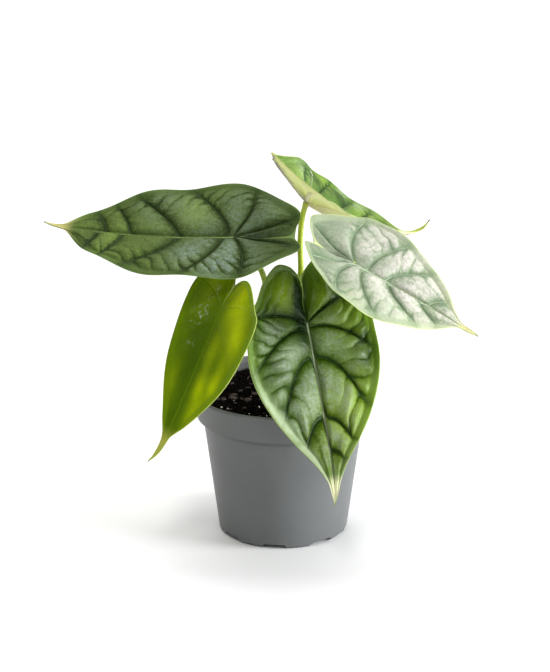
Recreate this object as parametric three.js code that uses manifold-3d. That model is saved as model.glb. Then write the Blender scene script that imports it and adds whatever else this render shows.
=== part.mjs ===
// A dragon scale alocasia in a 12 cm nursery pot: a tapered pot with a banded rim, potting soil,
// the short corm that the plant grows from, five petioles and the five shield-shaped blades on them.
// Millimetres, +Z up, origin at the middle of the pot's flat underside, the plant's front towards -Y.
import * as THREE from 'three';
import * as BufferGeometryUtils from 'three/addons/utils/BufferGeometryUtils.js';
import Module from 'manifold-3d';

const wasm = await Module();
wasm.setup();

// Driving dimensions
const seatGap = 0.3;            // clearance between pieces that touch
const pot = {
  rimRadius: 60,
  height: 96.3,
  lipHeight: 2.1,
  lipInner: 58.3,
  bandFoot: 77.1,               // height where the rim band starts
  bandRadius: 55.5,
  bandTopRadius: 57,
  bodyTopRadius: 51.4,
  bodyFootRadius: 41,
  footRadius: 39.6,
  wall: 1.1,
  floor: 1.6,
  ringFloor: 4.6,               // the floor is thicker in a ring, above the drain notches
  ringRadius: 27,
  segments: 48,
};
const drain = { count: 8, first: -8, wide: 25, narrow: 19, height: 3, depth: 9, holeRadius: 2.6, holeCircle: 33.5 };
const soilSurface = { level: 89, dome: 1.4, bump: 1.1, rings: 11, segments: 36 };
const corm = { radius: 11.5, top: 97, foot: 72, socketDepth: 14 };
const stem = { footRadius: 2.9, topRadius: 1.8, sides: 10, footCircle: 6.9, seatGap: 0.4 };
const blade = {
  thickness: 0.9,
  stations: 28,                 // rows of points in a half, from tip to notch
  columns: [0, 0.06, 0.17, 0.32, 0.48, 0.64, 0.78, 0.88, 1],   // shares of the way from midrib to margin
  rimVein: 0.87,                // share where a vein runs along the margin, inside a smooth band
  rimRise: 0.9,                 // how far that band's edge stands up
  fullQuilt: 12,                // a half that is narrower than this is quilted less
  gutterWidth: 8,               // of the channel from the petiole to the notch
};

// Outline stations: share of the way from the petiole's junction to the root of the drip tip
const frontStations = [0.88, 0.75, 0.6, 0.44, 0.28, 0.12];
const lastControl = 14;         // control points of one half's outline, from tip (0) to notch (14)

// The five leaves. Angles in degrees: heading from +X towards +Y, pitch up from level, roll about the midrib.
// A half's values are [left, right], seen from above with the tip ahead. Of each side vein it has the place where
// the vein meets the margin, in control points of the outline, and the share of the midrib where it starts.
const leaves = {
  left: {
    junction: [-31, -20, 201], heading: 176, pitch: -3.5, roll: -24, bend: 12, swerve: -2.5, twist: -1.5,
    back: 1, backPower: 1, fold: [11.5, 8.5], cup: -7, length: 119, tip: 14.5, tipCurl: 16, tipSwerve: -4,
    width: [44, 44], lobe: [42, 42], notch: 38, belly: 2.9, point: [0.75, 1.1], hip: 0.9, lobeTip: [0.35, 0.35],
    tipWidth: 3, seamShift: 0, gutter: 2, quilt: 3, wave: 1.8, veinBend: 1.6, veinBow: 4,
    veins: [
      [[3.1, 0.8], [3.85, 0.67], [4.7, 0.33], [6.9, 0.06], [9, 0], [12, 0]],
      [[3.4, 0.76], [4.1, 0.62], [4.9, 0.33], [7, 0.02], [9.7, 0], [12, 0]],
    ],
    stem: { foot: 126, route: [[-7, 3.5, 125], [-10.2, -1.5, 158], [-13.8, -5, 174.3], [-21.5, -12, 187]] },
  },
  lower_left: {
    junction: [-38, -55, 167], heading: -160, pitch: -66, roll: -13, bend: 4, swerve: 11, twist: -9,
    back: -9.5, backPower: 1, fold: [-3.5, 6], cup: -2, length: 106, tip: 19, tipCurl: 32, tipSwerve: -13,
    width: [35.5, 32], lobe: [23.5, 30], notch: 15.5, belly: 2.1, point: [1, 1.13], hip: 0.9,
    lobeTip: [0.43, 0.43], tipWidth: 3, seamShift: 0, gutter: 1.5, quilt: 0.3, wave: 0.3, veinBend: 1.6, veinBow: 3,
    veins: [
      [[3, 0.78], [4.5, 0.42], [6, 0.12], [9.5, 0], [12, 0]],
      [[3, 0.78], [4.5, 0.42], [6, 0.12], [9.5, 0], [12, 0]],
    ],
    stem: { foot: 198, route: [[-11, -5, 115], [-17, -14, 138], [-25, -34, 157]] },
  },
  front: {
    junction: [14.3, -35.3, 150.6], heading: -65, pitch: -64.5, roll: -9, bend: 15.5, swerve: -15, twist: 16,
    back: 8.5, backPower: 1, fold: [6, 12], cup: 2.5, length: 116, tip: 14.5, tipCurl: 1, tipSwerve: -24,
    width: [45, 53.5], lobe: [40, 39], notch: 28.5, belly: 2.55, point: [1.4, 1.4], hip: 0.83, lobeTip: [0.46, 0.46],
    tipWidth: 4.2, seamShift: 4.4, gutter: 4, quilt: 3.8, wave: 0.6, veinBend: 2.4, veinBow: 3,
    veins: [
      [[3.1, 0.8], [3.9, 0.6], [5.2, 0.22], [7.4, 0.03], [9.9, 0]],
      [[3.6, 0.6], [4.7, 0.22], [6.8, 0.04], [9.1, 0]],
    ],
    stem: { foot: 270, route: [[0.5, -10, 110], [3, -14, 130], [8.5, -22, 143.5]] },
  },
  right: {
    junction: [43, -43, 191.3], heading: -8, pitch: -28, roll: 23.5, bend: -3, swerve: 1, twist: 25,
    back: 17, backPower: 1, fold: [0, 5], cup: 11, length: 88.5, tip: 13, tipCurl: 4.5, tipSwerve: 2.5,
    width: [40.5, 40.5], lobe: [38.5, 33.5], notch: 27, belly: 2, point: [1.1, 1.1], hip: 0.81, lobeTip: [0.38, 0.45],
    tipWidth: 2.2, seamShift: 0, gutter: 3, quilt: 2.8, wave: 1, veinBend: 1.9, veinBow: 5,
    veins: [
      [[3.4, 0.7], [4.8, 0.3], [6.5, 0.13], [9.2, 0], [12.2, 0]],
      [[3.4, 0.62], [4.4, 0.32], [6.6, 0.08], [8.9, 0], [11.3, 0]],
    ],
    stem: { foot: 342, route: [[11.2, 0.6, 115], [19.6, 7, 145], [32, 7, 170], [41, -15, 185]] },
  },
  top: {
    junction: [15, 21, 212], heading: 10.8, pitch: -37.3, roll: 2.4, bend: 37.8, swerve: 10.5, twist: -3,
    back: 18.8, backPower: 0.15, fold: [21.2, 24.5], cup: -5.5, length: 91.5, tip: 20, tipCurl: 56, tipSwerve: 24,
    width: [39.2, 31.3], lobe: [36, 40.5], notch: 30, belly: 2.1, point: [0.97, 0.97], hip: 0.78,
    lobeTip: [0.14, 0.04], tipWidth: 2.6, seamShift: 0, gutter: 0, quilt: 2.5, wave: 0.8, veinBend: 1.6, veinBow: 3,
    veins: [
      [[3.3, 0.75], [4.2, 0.55], [5.3, 0.3], [7, 0.08], [9.4, 0], [12, 0]],
      [[3.3, 0.75], [4.2, 0.55], [5.3, 0.3], [7, 0.08], [9.4, 0], [12, 0]],
    ],
    stem: { foot: 54, route: [[6.5, 9, 120], [9.5, 13, 148], [11, 16, 167.5], [10.7, 18.5, 187], [11.9, 20.3, 201.5]] },
  },
};

const colours = {
  pot: 0x7d858d, soil: 0x241b16, corm: 0x6d5a3c, stem: 0x9fb04a,
  left: 0x5d7148, lower_left: 0x84a51c, front: 0x6f8f4e, right: 0xa9baa2, top: 0x9cb16c,
};

const radians = THREE.MathUtils.degToRad;
const clamp = THREE.MathUtils.clamp;
const lerp = THREE.MathUtils.lerp;

// Solids for cutting and joining
function solidOf(geometry) {
  const plain = geometry.clone();
  plain.deleteAttribute('normal');
  plain.deleteAttribute('uv');
  const merged = BufferGeometryUtils.mergeVertices(plain, 1e-4);
  return new wasm.Manifold(new wasm.Mesh({
    numProp: 3,
    vertProperties: new Float32Array(merged.attributes.position.array),
    triVerts: new Uint32Array(merged.index.array),
  }));
}

function geometryOf(solid) {
  const mesh = solid.getMesh();
  const geometry = new THREE.BufferGeometry();
  geometry.setAttribute('position', new THREE.BufferAttribute(mesh.vertProperties, 3));
  geometry.setIndex(new THREE.BufferAttribute(mesh.triVerts, 1));
  geometry.computeVertexNormals();
  return geometry;
}

function lathe(profile, segments) {
  const points = profile.map(([r, z]) => new THREE.Vector2(r, z));
  return new THREE.LatheGeometry(points, segments).rotateX(Math.PI / 2);
}

// The pot
function bodyRadius(z) {
  return lerp(pot.bodyFootRadius, pot.bodyTopRadius, z / pot.bandFoot);
}

function bandRadius(z) {
  const share = (z - pot.bandFoot) / (pot.height - pot.lipHeight - pot.bandFoot);
  return lerp(pot.bandRadius, pot.bandTopRadius, share);
}

function drainNotch(degrees) {
  const reach = bodyRadius(drain.height) + 2;
  const root = pot.footRadius - drain.depth;
  const half = (angle) => Math.tan(radians(angle / 2));
  const corner = (x, angle, z) => new THREE.Vector3(x, x * half(angle), z);
  const low = -1;
  const points = [];
  for (const x of [root, reach]) {
    for (const [angle, z] of [[drain.wide, low], [drain.narrow, drain.height]]) {
      const point = corner(x, angle, z);
      points.push(point, new THREE.Vector3(point.x, -point.y, point.z));
    }
  }
  // corners: root low +/-, root high +/-, reach low +/-, reach high +/-
  const faces = [
    [0, 3, 2], [0, 1, 3], [4, 7, 5], [4, 6, 7], [0, 5, 1], [0, 4, 5],
    [2, 7, 6], [2, 3, 7], [0, 6, 4], [0, 2, 6], [1, 7, 3], [1, 5, 7],
  ];
  const geometry = new THREE.BufferGeometry().setFromPoints(points);
  geometry.setIndex(faces.flat());
  return geometry.rotateZ(radians(degrees));
}

function potGeometry() {
  const lipFoot = pot.height - pot.lipHeight;
  const { wall, floor, ringFloor } = pot;
  const profile = [
    [0, 0], [pot.footRadius - 0.8, 0], [pot.footRadius, 0.5], [bodyRadius(1.8), 1.8],
    [bodyRadius(pot.bandFoot - 0.8), pot.bandFoot - 0.8], [pot.bodyTopRadius + 0.9, pot.bandFoot],
    [pot.bandRadius - 0.7, pot.bandFoot], [pot.bandRadius, pot.bandFoot + 0.6],
    [pot.bandTopRadius, lipFoot], [pot.rimRadius - 0.6, lipFoot], [pot.rimRadius, lipFoot + 0.6],
    [pot.rimRadius, pot.height - 0.7], [pot.rimRadius - 0.6, pot.height], [pot.lipInner + 0.5, pot.height],
    [pot.lipInner, pot.height - 0.5], [pot.bandTopRadius - wall, lipFoot - 0.6],
    [pot.bandRadius - wall, pot.bandFoot + wall], [pot.bodyTopRadius - wall, pot.bandFoot + wall - 0.3],
    [bodyRadius(ringFloor) - wall, ringFloor], [pot.ringRadius, ringFloor],
    [pot.ringRadius - 1.5, floor], [0, floor],
  ];
  let solid = solidOf(lathe(profile, pot.segments));
  for (let i = 0; i < drain.count; i += 1) {
    const degrees = -90 + drain.first + i * 360 / drain.count;
    solid = solid.subtract(solidOf(drainNotch(degrees)));
    const hole = new THREE.CylinderGeometry(drain.holeRadius, drain.holeRadius, 4 * pot.floor, 12);
    hole.rotateX(Math.PI / 2);
    hole.translate(drain.holeCircle, 0, drain.height + pot.floor / 2);
    hole.rotateZ(radians(degrees));
    solid = solid.subtract(solidOf(hole));
  }
  return geometryOf(solid);
}

// A leaf's midrib, as points with a frame, from the back of its lobes to its tip
function midribOf(leaf) {
  const backReach = Math.max(...leaf.lobe);
  const step = 1;
  const frameAt = (s) => {
    const ahead = clamp(s / leaf.length, 0, 1);
    const behind = clamp(-s / backReach, 0, 1.1);
    const curl = clamp((s - leaf.length + 1.3 * leaf.tip) / (1.3 * leaf.tip), 0, 1) ** 2;
    const pitch = radians(leaf.pitch + leaf.bend * ahead - leaf.back * behind ** leaf.backPower + leaf.tipCurl * curl);
    const heading = radians(leaf.heading + leaf.swerve * (ahead - 0.35 * behind) + leaf.tipSwerve * curl);
    const roll = radians(leaf.roll + leaf.twist * (ahead - 0.4 * behind));
    const along = new THREE.Vector3(
      Math.cos(pitch) * Math.cos(heading), Math.cos(pitch) * Math.sin(heading), Math.sin(pitch));
    const level = new THREE.Vector3(-Math.sin(heading), Math.cos(heading), 0);
    const up = along.clone().cross(level);
    const side = level.clone().multiplyScalar(Math.cos(roll)).addScaledVector(up, Math.sin(roll));
    const normal = up.multiplyScalar(Math.cos(roll)).addScaledVector(level, -Math.sin(roll));
    return { along, side, normal };
  };
  const walk = (from, to) => {
    const points = [{ s: from, point: new THREE.Vector3(...leaf.junction), ...frameAt(from) }];
    const steps = Math.ceil(Math.abs(to - from) / step);
    for (let i = 1; i <= steps; i += 1) {
      const s = lerp(from, to, i / steps);
      const previous = points[i - 1];
      const frame = frameAt(s);
      const along = previous.along.clone().add(frame.along).multiplyScalar((s - previous.s) / 2);
      points.push({ s, point: previous.point.clone().add(along), ...frame });
    }
    return points;
  };
  return [...walk(0, -backReach).reverse(), ...walk(0, leaf.length).slice(1)];
}

function midribAt(midrib, s) {
  let i = midrib.findIndex((entry) => entry.s >= s);
  i = i < 1 ? (i < 0 ? midrib.length - 1 : 1) : i;
  const [a, b] = [midrib[i - 1], midrib[i]];
  const share = clamp((s - a.s) / (b.s - a.s), 0, 1);
  const mix = (key) => a[key].clone().lerp(b[key], share);
  return { point: mix('point'), side: mix('side'), normal: mix('normal') };
}

// One half's flat outline: s along the midrib from the junction, t out from it
function outlineOf(leaf, half) {
  const width = leaf.width[half];
  const lobe = leaf.lobe[half];
  const lobeTip = leaf.lobeTip[half];
  const tipRoot = leaf.length - leaf.tip;
  const tipWidth = leaf.tipWidth;
  const front = frontStations.map((x) => {
    const share = (1 - x ** leaf.belly) ** leaf.point[half];
    return [x * tipRoot, tipWidth * x + width * share * (1 - tipWidth / width * x)];
  });
  const points = [
    [leaf.length, 0], [leaf.length - 0.45 * leaf.tip, 0.5 * tipWidth], [tipRoot, tipWidth], ...front,
    [-0.06 * tipRoot, width], [-0.45 * lobe, width * leaf.hip], [-0.78 * lobe, width * (lobeTip + 0.25)],
    [-lobe, width * lobeTip], [-0.93 * lobe, width * lobeTip * 0.45], [-leaf.notch, 0],
  ];
  return new THREE.SplineCurve(points.map(([s, t]) => new THREE.Vector2(s, t)));
}

// Where the line that ends at outline control u leaves the midrib, between the feet of the side veins
function veinFoot(leaf, half, u) {
  const tipRoot = leaf.length - leaf.tip;
  const veins = leaf.veins[half].map(([end, foot]) => [end, foot * tipRoot]);
  const known = [[0, leaf.length], [2, tipRoot], ...veins, [lastControl, 0]];
  const i = known.findIndex(([end]) => end >= u);
  if (i < 1) return leaf.length;
  return THREE.MathUtils.mapLinear(u, known[i - 1][0], known[i][0], known[i - 1][1], known[i][1]);
}

// Place along the leaf of a side vein that is this far out: it leaves the midrib squarely, bends towards the tip
// and runs into the vein along the margin. Those to the lobes bow back.
function veinAlong(leaf, u, outward, foot, marginAlong) {
  const bend = 1 + (leaf.veinBend - 1) * clamp((9.5 - u) / 3, 0, 1);
  const share = Math.min(outward / blade.rimVein, 1);
  const reach = 0.88 * share ** bend + 0.12 * Math.max(0, outward - blade.rimVein) / (1 - blade.rimVein);
  const bow = leaf.veinBow * Math.sin(Math.PI * share) * Math.exp(-(((u - 9) / 1.8) ** 2));
  return lerp(foot, marginAlong, reach) - bow;
}

// Height of the quilting between the sunken veins. The seam ahead of the notch is one of them.
function quiltAt(leaf, half, u, outward, marginWidth, foot) {
  const veins = [0.5, ...leaf.veins[half].map(([end]) => end), lastControl];
  const i = veins.findIndex((vein) => vein > u);
  if (i < 1) return 0;
  const across = (u - veins[i - 1]) / (veins[i] - veins[i - 1]);
  const ahead = clamp(foot / 15, 0, 1);
  const nearMidrib = 1 - (1 - Math.min(outward / lerp(0.3, 0.16, ahead), 1)) ** 2;
  const nearRim = Math.sqrt(clamp((blade.rimVein - outward) / 0.25, 0, 1));
  const size = leaf.quilt * Math.min(marginWidth / blade.fullQuilt, 1);
  return size * Math.sin(Math.PI * across) ** 0.65 * nearMidrib * nearRim;
}

// Turns a flat place on the leaf into a point on its folded, arched and quilted middle surface
function surfacePoint(leaf, midrib, half, s, t, height) {
  const sign = half === 0 ? 1 : -1;
  const width = leaf.width[half];
  const fold = radians(leaf.fold[half]);
  const cup = radians(leaf.cup);
  const out = width / cup * (Math.sin(fold + cup * t / width) - Math.sin(fold));
  const lift = width / cup * (Math.cos(fold) - Math.cos(fold + cup * t / width));
  const gutter = leaf.gutter * Math.exp(-((t / blade.gutterWidth) ** 2)) * (1 - THREE.MathUtils.smoothstep(s, -15, -2));
  const shift = leaf.seamShift * Math.exp(-((t / 14) ** 2)) * (1 - THREE.MathUtils.smoothstep(s, -22, -2));
  const { point, side, normal } = midribAt(midrib, s);
  return point.addScaledVector(side, sign * out + shift).addScaledVector(normal, lift + height - gutter);
}

// A blade: a grid of points on each half, from the midrib along the side veins to the margin
function bladeGeometry(leaf) {
  const midrib = midribOf(leaf);
  const { stations, columns, thickness } = blade;
  const lastColumn = columns.length - 1;
  const middle = [];
  const numbers = new Map();

  const vertex = (half, k, j, outline) => {
    const even = k / stations * lastControl;
    const nearVein = leaf.veins[half].map(([end]) => end).find((end) => Math.abs(end - even) <= 0.25) ?? even;
    const outward = columns[j];
    const ownShare = Math.min(outward / columns[2], 1);       // both halves share the midrib's points
    const u = lerp(even, nearVein, ownShare);
    const sharedFoot = (veinFoot(leaf, 0, u) + veinFoot(leaf, 1, u)) / 2;
    const foot = lerp(sharedFoot, veinFoot(leaf, half, u), ownShare);
    let key = `${half} ${k} ${j}`;
    if (k === 0) key = 'tip';
    else if (j === 0) key = foot === 0 ? 'junction' : `midrib ${k}`;
    else if (k === stations) key = `seam ${j}`;
    if (!numbers.has(key)) {
      const margin = outline.getPoint(u / lastControl);
      const width = Math.max(margin.y, 0);
      const s = veinAlong(leaf, u, outward, foot, margin.x);
      const ends = clamp(u / 3, 0, 1) * clamp((lastControl - u) / 2, 0, 1);
      const ripple = leaf.wave * Math.sin(2 * u + 3.5 * half) * outward ** 3;
      const rim = blade.rimRise * Math.max(0, outward - blade.rimVein) / (1 - blade.rimVein);
      const height = quiltAt(leaf, half, u, outward, width, foot) + (ripple + rim) * ends;
      numbers.set(key, middle.length);
      middle.push(surfacePoint(leaf, midrib, half, s, width * outward, height));
    }
    return numbers.get(key);
  };

  const top = [];
  const edge = [];
  for (const half of [0, 1]) {
    const outline = outlineOf(leaf, half);
    for (let k = 0; k < stations; k += 1) {
      for (let j = 0; j < lastColumn; j += 1) {
        const a = vertex(half, k, j, outline);
        const b = vertex(half, k, j + 1, outline);
        const c = vertex(half, k + 1, j + 1, outline);
        const d = vertex(half, k + 1, j, outline);
        for (const [p, q, r] of [[a, b, c], [a, c, d]]) {
          if (p === q || q === r || r === p) continue;
          top.push(half === 0 ? [p, q, r] : [p, r, q]);
        }
        if (j === lastColumn - 1) edge.push(half === 0 ? [b, c] : [c, b]);
      }
    }
  }

  const normals = middle.map(() => new THREE.Vector3());
  for (const [a, b, c] of top) {
    const ab = middle[b].clone().sub(middle[a]);
    const ac = middle[c].clone().sub(middle[a]);
    const face = ab.cross(ac);
    for (const i of [a, b, c]) normals[i].add(face);
  }
  normals.forEach((normal) => normal.normalize());
  const upper = middle.map((point, i) => point.clone().addScaledVector(normals[i], thickness / 2));
  const lower = middle.map((point, i) => point.clone().addScaledVector(normals[i], -thickness / 2));
  const count = middle.length;
  const index = [];
  for (const [a, b, c] of top) index.push(a, b, c, count + a, count + c, count + b);
  for (const [b, c] of edge) index.push(c, b, count + b, c, count + b, count + c);
  const geometry = new THREE.BufferGeometry().setFromPoints([...upper, ...lower]);
  geometry.setIndex(index);
  geometry.computeVertexNormals();
  const seat = { point: middle[numbers.get('junction')], normal: midribAt(midrib, 0).normal };
  return { geometry, seat };
}

// A petiole: a tapering round stalk along its route, cut to the slope of the blade that it carries
function petioleGeometry(leaf, seat) {
  const footAngle = radians(leaf.stem.foot);
  const footZ = corm.top - corm.socketDepth;
  const foot = [stem.footCircle * Math.cos(footAngle), stem.footCircle * Math.sin(footAngle)];
  const seatPoint = seat.point.clone().addScaledVector(seat.normal, -blade.thickness / 2 - stem.seatGap);
  const curve = new THREE.CatmullRomCurve3([
    new THREE.Vector3(...foot, footZ), new THREE.Vector3(...foot, corm.top + 2),
    ...leaf.stem.route.map((point) => new THREE.Vector3(...point)), seatPoint,
  ], false, 'centripetal');
  const steps = Math.round(curve.getLength() / 8);
  const frames = curve.computeFrenetFrames(steps);
  const geometry = new THREE.CylinderGeometry(1, 1, 1, stem.sides, steps);
  const position = geometry.attributes.position;
  const place = new THREE.Vector3();
  for (let i = 0; i < position.count; i += 1) {
    const share = position.getY(i) + 0.5;
    const ring = Math.round(share * steps);
    const radius = lerp(stem.footRadius, stem.topRadius, 1 - (1 - share) ** 2);
    const [x, z] = [position.getX(i) * radius, position.getZ(i) * radius];
    place.copy(curve.getPointAt(share));
    place.addScaledVector(frames.normals[ring], x).addScaledVector(frames.binormals[ring], -z);
    if (ring === steps) {
      const along = frames.tangents[ring];
      const off = seatPoint.clone().sub(place).dot(seat.normal) / along.dot(seat.normal);
      place.addScaledVector(along, off);
    }
    position.setXYZ(i, place.x, place.y, place.z);
  }
  return { geometry, foot };
}

// The corm: a short swollen stem base with a socket for each petiole
function cormProfile(extra) {
  const { radius, top, foot } = corm;
  const height = top - foot;
  return [
    [0, foot - extra], [0.45 * radius, foot - extra], [0.8 * radius + extra, foot + 0.12 * height],
    [radius + extra, foot + 0.4 * height], [radius + extra, foot + 0.72 * height],
    [0.92 * radius + extra, foot + 0.9 * height], [0.7 * radius, top], [0, top + 0.6],
  ];
}

function cormGeometry(feet) {
  let solid = solidOf(lathe(cormProfile(0), 30));
  const depth = corm.socketDepth + seatGap;
  for (const [x, y] of feet) {
    const radius = stem.footRadius + stem.seatGap;
    const socket = new THREE.CylinderGeometry(radius, radius, depth + 4, 14);
    socket.rotateX(Math.PI / 2).translate(x, y, corm.top - depth + (depth + 4) / 2);
    solid = solid.subtract(solidOf(socket));
  }
  return geometryOf(solid);
}

// The soil: a plug inside the pot with a loose, uneven surface and a plain hole for the corm
function soilHeight(x, y) {
  const { level, dome, bump } = soilSurface;
  const r = Math.hypot(x, y);
  const wavy = Math.sin(0.21 * x + 0.6) * Math.cos(0.19 * y - 0.4) + 0.6 * Math.sin(0.43 * x - 0.31 * y);
  const clods = 0.5 * Math.sin(0.9 * x + 0.5 * y) * Math.sin(0.8 * y - 0.35 * x + 1);
  return level + dome * (1 - (r / 50) ** 2) + bump * (wavy + clods) * 0.6;
}

function soilGeometry() {
  const { rings, segments } = soilSurface;
  const edgeZ = soilSurface.level - 1;
  const gap = seatGap;
  const profile = [
    [0, pot.floor + gap], [pot.ringRadius - 1.5 - gap, pot.floor + gap],
    [pot.ringRadius - gap, pot.ringFloor + gap], [bodyRadius(pot.ringFloor) - pot.wall - gap, pot.ringFloor + gap],
    [pot.bodyTopRadius - pot.wall - gap, pot.bandFoot + pot.wall + gap],
    [pot.bandRadius - pot.wall - gap, pot.bandFoot + pot.wall + gap],
    [bandRadius(edgeZ) - pot.wall - 2 * gap, edgeZ],
  ];
  const rimRadius = bandRadius(edgeZ) - pot.wall - 2 * gap;
  for (let i = 1; i <= rings; i += 1) profile.push([rimRadius * (1 - i / rings), edgeZ + 1]);
  const geometry = lathe(profile, segments);
  const position = geometry.attributes.position;
  for (let i = 0; i < position.count; i += 1) {
    const [x, y, z] = [position.getX(i), position.getY(i), position.getZ(i)];
    if (z > edgeZ + 0.5) position.setZ(i, soilHeight(x, y));
  }
  const holeRadius = corm.radius + seatGap + 0.1;
  const hole = lathe(cormProfile(seatGap + 0.1), 30);
  const shaft = new THREE.CylinderGeometry(holeRadius, holeRadius, 20, 30);
  shaft.rotateX(Math.PI / 2).rotateZ(Math.PI / 2).translate(0, 0, corm.foot + 0.4 * (corm.top - corm.foot) + 10);
  return geometryOf(solidOf(geometry).subtract(solidOf(hole)).subtract(solidOf(shaft)));
}

function material(colour, roughness, metalness = 0) {
  return new THREE.MeshStandardMaterial({ color: colour, roughness, metalness });
}

function piece(name, geometry, finish) {
  const mesh = new THREE.Mesh(geometry, finish);
  mesh.name = name;
  return mesh;
}

const plant = new THREE.Group();
plant.name = 'potted_alocasia';
plant.add(piece('pot', potGeometry(), material(colours.pot, 0.5)));
plant.add(piece('soil', soilGeometry(), material(colours.soil, 0.95)));

const feet = [];
for (const [name, leaf] of Object.entries(leaves)) {
  const { geometry, seat } = bladeGeometry(leaf);
  const petiole = petioleGeometry(leaf, seat);
  feet.push(petiole.foot);
  plant.add(piece(`blade_${name}`, geometry, material(colours[name], 0.4)));
  plant.add(piece(`petiole_${name}`, petiole.geometry, material(colours.stem, 0.45)));
}
plant.add(piece('corm', cormGeometry(feet), material(colours.corm, 0.8)));

export default plant;
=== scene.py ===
# A dragon scale alocasia in a nursery pot: the pot, its soil, the corm, the stalks and the leaves.
# Sizes in the dictionaries are millimetres and degrees, and mm turns them into the scene's metres.
import math
import random

import bpy
import numpy as np
from mathutils import Matrix, Vector


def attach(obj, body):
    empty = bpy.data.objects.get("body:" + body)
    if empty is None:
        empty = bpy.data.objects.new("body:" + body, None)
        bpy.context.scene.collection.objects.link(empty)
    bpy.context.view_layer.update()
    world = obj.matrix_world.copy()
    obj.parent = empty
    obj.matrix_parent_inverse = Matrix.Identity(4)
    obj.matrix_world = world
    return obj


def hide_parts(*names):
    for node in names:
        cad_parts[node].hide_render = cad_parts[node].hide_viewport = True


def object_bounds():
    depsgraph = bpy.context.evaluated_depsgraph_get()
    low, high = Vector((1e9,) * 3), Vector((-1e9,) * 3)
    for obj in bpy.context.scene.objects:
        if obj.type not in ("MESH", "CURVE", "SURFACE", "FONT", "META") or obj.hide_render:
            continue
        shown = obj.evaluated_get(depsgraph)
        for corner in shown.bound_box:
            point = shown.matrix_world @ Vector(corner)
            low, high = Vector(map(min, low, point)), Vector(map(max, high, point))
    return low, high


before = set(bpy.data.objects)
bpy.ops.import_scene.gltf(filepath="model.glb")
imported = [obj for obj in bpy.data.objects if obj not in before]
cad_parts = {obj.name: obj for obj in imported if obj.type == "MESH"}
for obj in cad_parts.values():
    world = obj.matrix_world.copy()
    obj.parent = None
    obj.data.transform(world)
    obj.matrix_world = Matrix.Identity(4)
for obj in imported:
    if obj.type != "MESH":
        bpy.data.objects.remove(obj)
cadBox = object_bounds()
mm = 0.001


# Camera, floor and light
view = {
    "target": (-5.3, 0, 129.3), "distance": 1893, "lens": 160, "sensor": 36,
    "pitch": 19.5,  # the camera looks down by this much
}

studio = {
    "floorSize": 9000, "floorColour": (248, 248, 248),
    "worldColour": (255, 255, 255), "worldStrength": 0.37,
    # name: place, size, power in watts, colour
    "lamps": {
        "rightSoftbox": ((1500, -350, 400), 800, 38, (250, 251, 255)),
        "skylight": ((0, 900, 2700), 2600, 62, (255, 254, 252)),
        "frontSoftbox": ((-200, -1300, 1700), 400, 10, (255, 254, 251)),
    },
    "aim": (0, 0, 120),
}


def deselectAll():
    if bpy.context.mode != "OBJECT":
        bpy.ops.object.mode_set(mode="OBJECT")
    bpy.ops.object.select_all(action="DESELECT")


def pick(*pieces):  # selects only these, the first as the active one
    deselectAll()
    for piece in pieces:
        piece.select_set(True)
    bpy.context.view_layer.objects.active = pieces[0]


def linear(colour):  # a screen colour of 0 to 255 as the shader's colour
    shares = [value / 255 for value in colour]
    return (*(share / 12.92 if share < 0.04 else ((share + 0.055) / 1.055) ** 2.4 for share in shares), 1)


def makeCamera():
    tilt = math.radians(view["pitch"])
    target = Vector(view["target"]) * mm
    back = Vector((0, -math.cos(tilt), math.sin(tilt))) * view["distance"] * mm
    bpy.ops.object.camera_add(location=target + back, rotation=(math.pi / 2 - tilt, 0, 0))
    camera = bpy.context.object
    camera.data.lens = view["lens"]
    camera.data.sensor_width = view["sensor"]
    camera.data.clip_end = 50
    bpy.context.scene.camera = camera


def makeStudio():
    world = bpy.data.worlds.new("studioAir")
    world.use_nodes = True
    air = world.node_tree.nodes["Background"]
    air.inputs["Color"].default_value = linear(studio["worldColour"])
    air.inputs["Strength"].default_value = studio["worldStrength"]
    bpy.context.scene.world = world
    aim = Vector(studio["aim"]) * mm
    for name, (place, size, power, colour) in studio["lamps"].items():
        place = Vector(place) * mm
        turn = (aim - place).to_track_quat("-Z", "Y").to_euler()
        bpy.ops.object.light_add(type="AREA", location=place, rotation=turn)
        lamp = bpy.context.object
        lamp.name = name
        lamp.data.shape = "DISK"
        lamp.data.size = size * mm
        lamp.data.energy = power
        lamp.data.color = linear(colour)[:3]
    bpy.ops.mesh.primitive_plane_add(size=studio["floorSize"] * mm)
    floor = bpy.context.object
    floor.name = "studioFloor"
    finish, shader = startFinish("floorPaper")
    setInputs(shader, {"Base Color": linear(studio["floorColour"]), "Roughness": 0.9})
    floor.data.materials.append(finish)
    bpy.context.scene.view_settings.view_transform = "Standard"
    print("studio made")


# Short calls for the nodes of a finish, which go into the one started last
current = {}


def startFinish(name):
    finish = bpy.data.materials.new(name)
    finish.use_nodes = True
    current["tree"] = finish.node_tree
    return finish, finish.node_tree.nodes["Principled BSDF"]


def setInputs(node, values):
    for name, value in values.items():
        if isinstance(value, bpy.types.NodeSocket):
            current["tree"].links.new(value, node.inputs[name])
        else:
            node.inputs[name].default_value = value


def setShader(shader, colour, roughness, skin, gloss=0.5, more={}):
    setInputs(shader, {"Base Color": colour, "Roughness": roughness, "Normal": skin,
                       "Specular IOR Level": gloss, **more})


def addNode(kind, inputs, **settings):
    made = current["tree"].nodes.new("ShaderNode" + kind)
    for name, value in settings.items():
        setattr(made, name, value)
    setInputs(made, inputs)
    return made


def readAttribute(name):
    return addNode("Attribute", {}, attribute_name=name).outputs["Fac"]


def calc(way, first, second=0.5):
    return addNode("Math", {0: first, 1: second}, operation=way).outputs[0]


def times(first, second):
    return calc("MULTIPLY", first, second)


def plus(first, second):
    return calc("ADD", first, second)


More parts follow.
